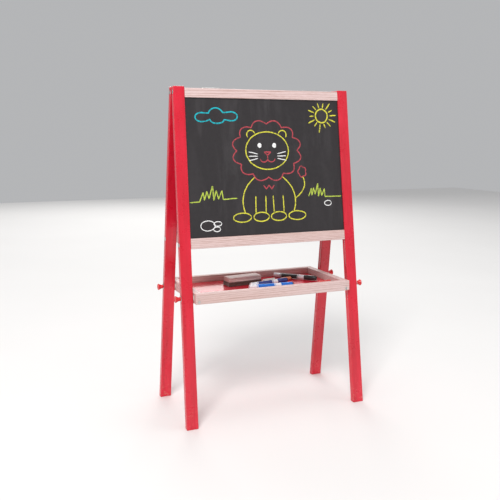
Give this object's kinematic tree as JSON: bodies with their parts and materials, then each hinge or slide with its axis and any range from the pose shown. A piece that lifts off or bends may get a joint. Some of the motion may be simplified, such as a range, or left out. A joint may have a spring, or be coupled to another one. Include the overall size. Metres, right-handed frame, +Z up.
{
  "type": "kids easel",
  "caption": "Double-sided A-frame children's easel: chalkboard one side, whiteboard the other, hinged at the top, with a bolted tray, thumb knobs, markers, chalks and an eraser.",
  "frame": {"origin": "on the floor under the middle of the easel's bounding box", "axes": "+Z up, the chalkboard faces -Y and the whiteboard +Y, +X to the right of a child facing the chalkboard"},
  "size_m": [0.5516, 0.2448, 0.8678],
  "materials": {
    "red_paint": "satin",
    "pine": "matte",
    "chalkboard": "matte",
    "whiteboard": "gloss",
    "zinc": "satin",
    "red_plastic": "gloss",
    "nylon": "matte",
    "white_plastic": "gloss",
    "blue_plastic": "gloss",
    "navy_plastic": "gloss",
    "black_plastic": "gloss",
    "felt": "matte",
    "red_chalk": "matte",
    "orange_chalk": "matte",
    "white_chalk": "matte"
  },
  "bodies": {
    "front_frame": {"front_left_leg": "red_paint", "front_right_leg": "red_paint", "front_top_rail": "pine", "front_bottom_rail": "pine", "front_chalkboard": "chalkboard", "front_left_top_bolt": "zinc", "front_left_bottom_bolt": "zinc", "front_left_hinge_leaf": "zinc", "front_right_top_bolt": "zinc", "front_right_bottom_bolt": "zinc", "front_right_hinge_leaf": "zinc", "left_hinge_pin": "zinc", "right_hinge_pin": "zinc", "front_left_knob_washer": "zinc", "front_right_knob_washer": "zinc"},
    "rear_frame": {"rear_left_leg": "red_paint", "rear_right_leg": "red_paint", "rear_top_rail": "pine", "rear_bottom_rail": "pine", "rear_whiteboard": "whiteboard", "rear_left_top_bolt": "zinc", "rear_left_bottom_bolt": "zinc", "rear_left_hinge_leaf": "zinc", "rear_right_top_bolt": "zinc", "rear_right_bottom_bolt": "zinc", "rear_right_hinge_leaf": "zinc"},
    "tray": {"tray_front_rail": "pine", "tray_front_left_screw": "zinc", "tray_front_left_spacer": "nylon", "tray_front_right_screw": "zinc", "tray_front_right_spacer": "nylon", "tray_back_rail": "pine", "tray_back_left_screw": "zinc", "tray_back_left_spacer": "nylon", "tray_back_right_screw": "zinc", "tray_back_right_spacer": "nylon", "tray_left_rail": "pine", "tray_right_rail": "pine", "tray_floor_panel": "red_paint"},
    "front_left_knob": {"front_left_knob": "red_plastic", "front_left_knob_bolt": "zinc"},
    "front_right_knob": {"front_right_knob": "red_plastic", "front_right_knob_bolt": "zinc"},
    "rear_left_knob_washer": {"rear_left_knob_washer": "zinc"},
    "rear_left_knob": {"rear_left_knob": "red_plastic", "rear_left_knob_bolt": "zinc"},
    "rear_right_knob_washer": {"rear_right_knob_washer": "zinc"},
    "rear_right_knob": {"rear_right_knob": "red_plastic", "rear_right_knob_bolt": "zinc"},
    "eraser": {"eraser_felt": "felt", "eraser_grip": "pine"},
    "blue_marker": {"blue_marker_barrel": "white_plastic"},
    "blue_marker_cap": {"blue_marker_cap": "blue_plastic"},
    "navy_marker": {"navy_marker_barrel": "white_plastic"},
    "navy_marker_cap": {"navy_marker_cap": "navy_plastic"},
    "black_marker": {"black_marker_barrel": "white_plastic"},
    "black_marker_cap": {"black_marker_cap": "black_plastic"},
    "red_chalk": {"red_chalk": "red_chalk"},
    "white_chalk": {"white_chalk": "white_chalk"},
    "orange_chalk": {"orange_chalk": "orange_chalk"}
  },
  "joints": [
    {"name": "frame_fold", "type": "hinge", "parent": "front_frame", "child": "rear_frame", "pos_m": [0, 0, 0.86495], "axis": [-1, 0, 0], "range_deg": [0, 13.9]},
    {"name": "tray_tilt", "type": "hinge", "parent": "front_frame", "child": "tray", "pos_m": [0, -0.07535, 0.32535], "axis": [-1, 0, 0], "range_deg": [0, 96.95]},
    {"name": "front_left_knob_turn", "type": "hinge", "parent": "front_frame", "child": "front_left_knob", "pos_m": [-0.2616, -0.07535, 0.32535], "axis": [-1, 0, 0], "continuous": true},
    {"name": "front_right_knob_turn", "type": "hinge", "parent": "front_frame", "child": "front_right_knob", "pos_m": [0.2616, -0.07535, 0.32535], "axis": [1, 0, 0], "continuous": true},
    {"name": "rear_left_knob_pull", "type": "slide", "parent": "rear_frame", "child": "rear_left_knob_washer", "axis": [-1, 0, 0], "range_m": [0, 0.035]},
    {"name": "rear_left_knob_turn", "type": "hinge", "parent": "rear_left_knob_washer", "child": "rear_left_knob", "pos_m": [-0.2616, 0.07535, 0.32535], "axis": [-1, 0, 0], "continuous": true},
    {"name": "rear_right_knob_pull", "type": "slide", "parent": "rear_frame", "child": "rear_right_knob_washer", "axis": [1, 0, 0], "range_m": [0, 0.035]},
    {"name": "rear_right_knob_turn", "type": "hinge", "parent": "rear_right_knob_washer", "child": "rear_right_knob", "pos_m": [0.2616, 0.07535, 0.32535], "axis": [1, 0, 0], "continuous": true},
    {"name": "eraser_lift", "type": "slide", "parent": "tray", "child": "eraser", "axis": [0, 0, 1], "range_m": [0, 0.08]},
    {"name": "blue_marker_lift", "type": "slide", "parent": "tray", "child": "blue_marker", "axis": [0, 0, 1], "range_m": [0, 0.08]},
    {"name": "blue_cap_pull", "type": "slide", "parent": "blue_marker", "child": "blue_marker_cap", "axis": [0.9968, -0.0802, 0], "range_m": [0, 0.032]},
    {"name": "navy_marker_lift", "type": "slide", "parent": "tray", "child": "navy_marker", "axis": [0, 0, 1], "range_m": [0, 0.08]},
    {"name": "navy_cap_pull", "type": "slide", "parent": "navy_marker", "child": "navy_marker_cap", "axis": [0.9781, 0.2079, 0], "range_m": [0, 0.032]},
    {"name": "black_marker_lift", "type": "slide", "parent": "tray", "child": "black_marker", "axis": [0, 0, 1], "range_m": [0, 0.08]},
    {"name": "black_cap_pull", "type": "slide", "parent": "black_marker", "child": "black_marker_cap", "axis": [0.7071, -0.7071, 0], "range_m": [0, 0.032]},
    {"name": "red_chalk_lift", "type": "slide", "parent": "tray", "child": "red_chalk", "axis": [0, 0, 1], "range_m": [0, 0.08]},
    {"name": "white_chalk_lift", "type": "slide", "parent": "tray", "child": "white_chalk", "axis": [0, 0, 1], "range_m": [0, 0.08]},
    {"name": "orange_chalk_lift", "type": "slide", "parent": "tray", "child": "orange_chalk", "axis": [0, 0, 1], "range_m": [0, 0.08]}
  ]
}
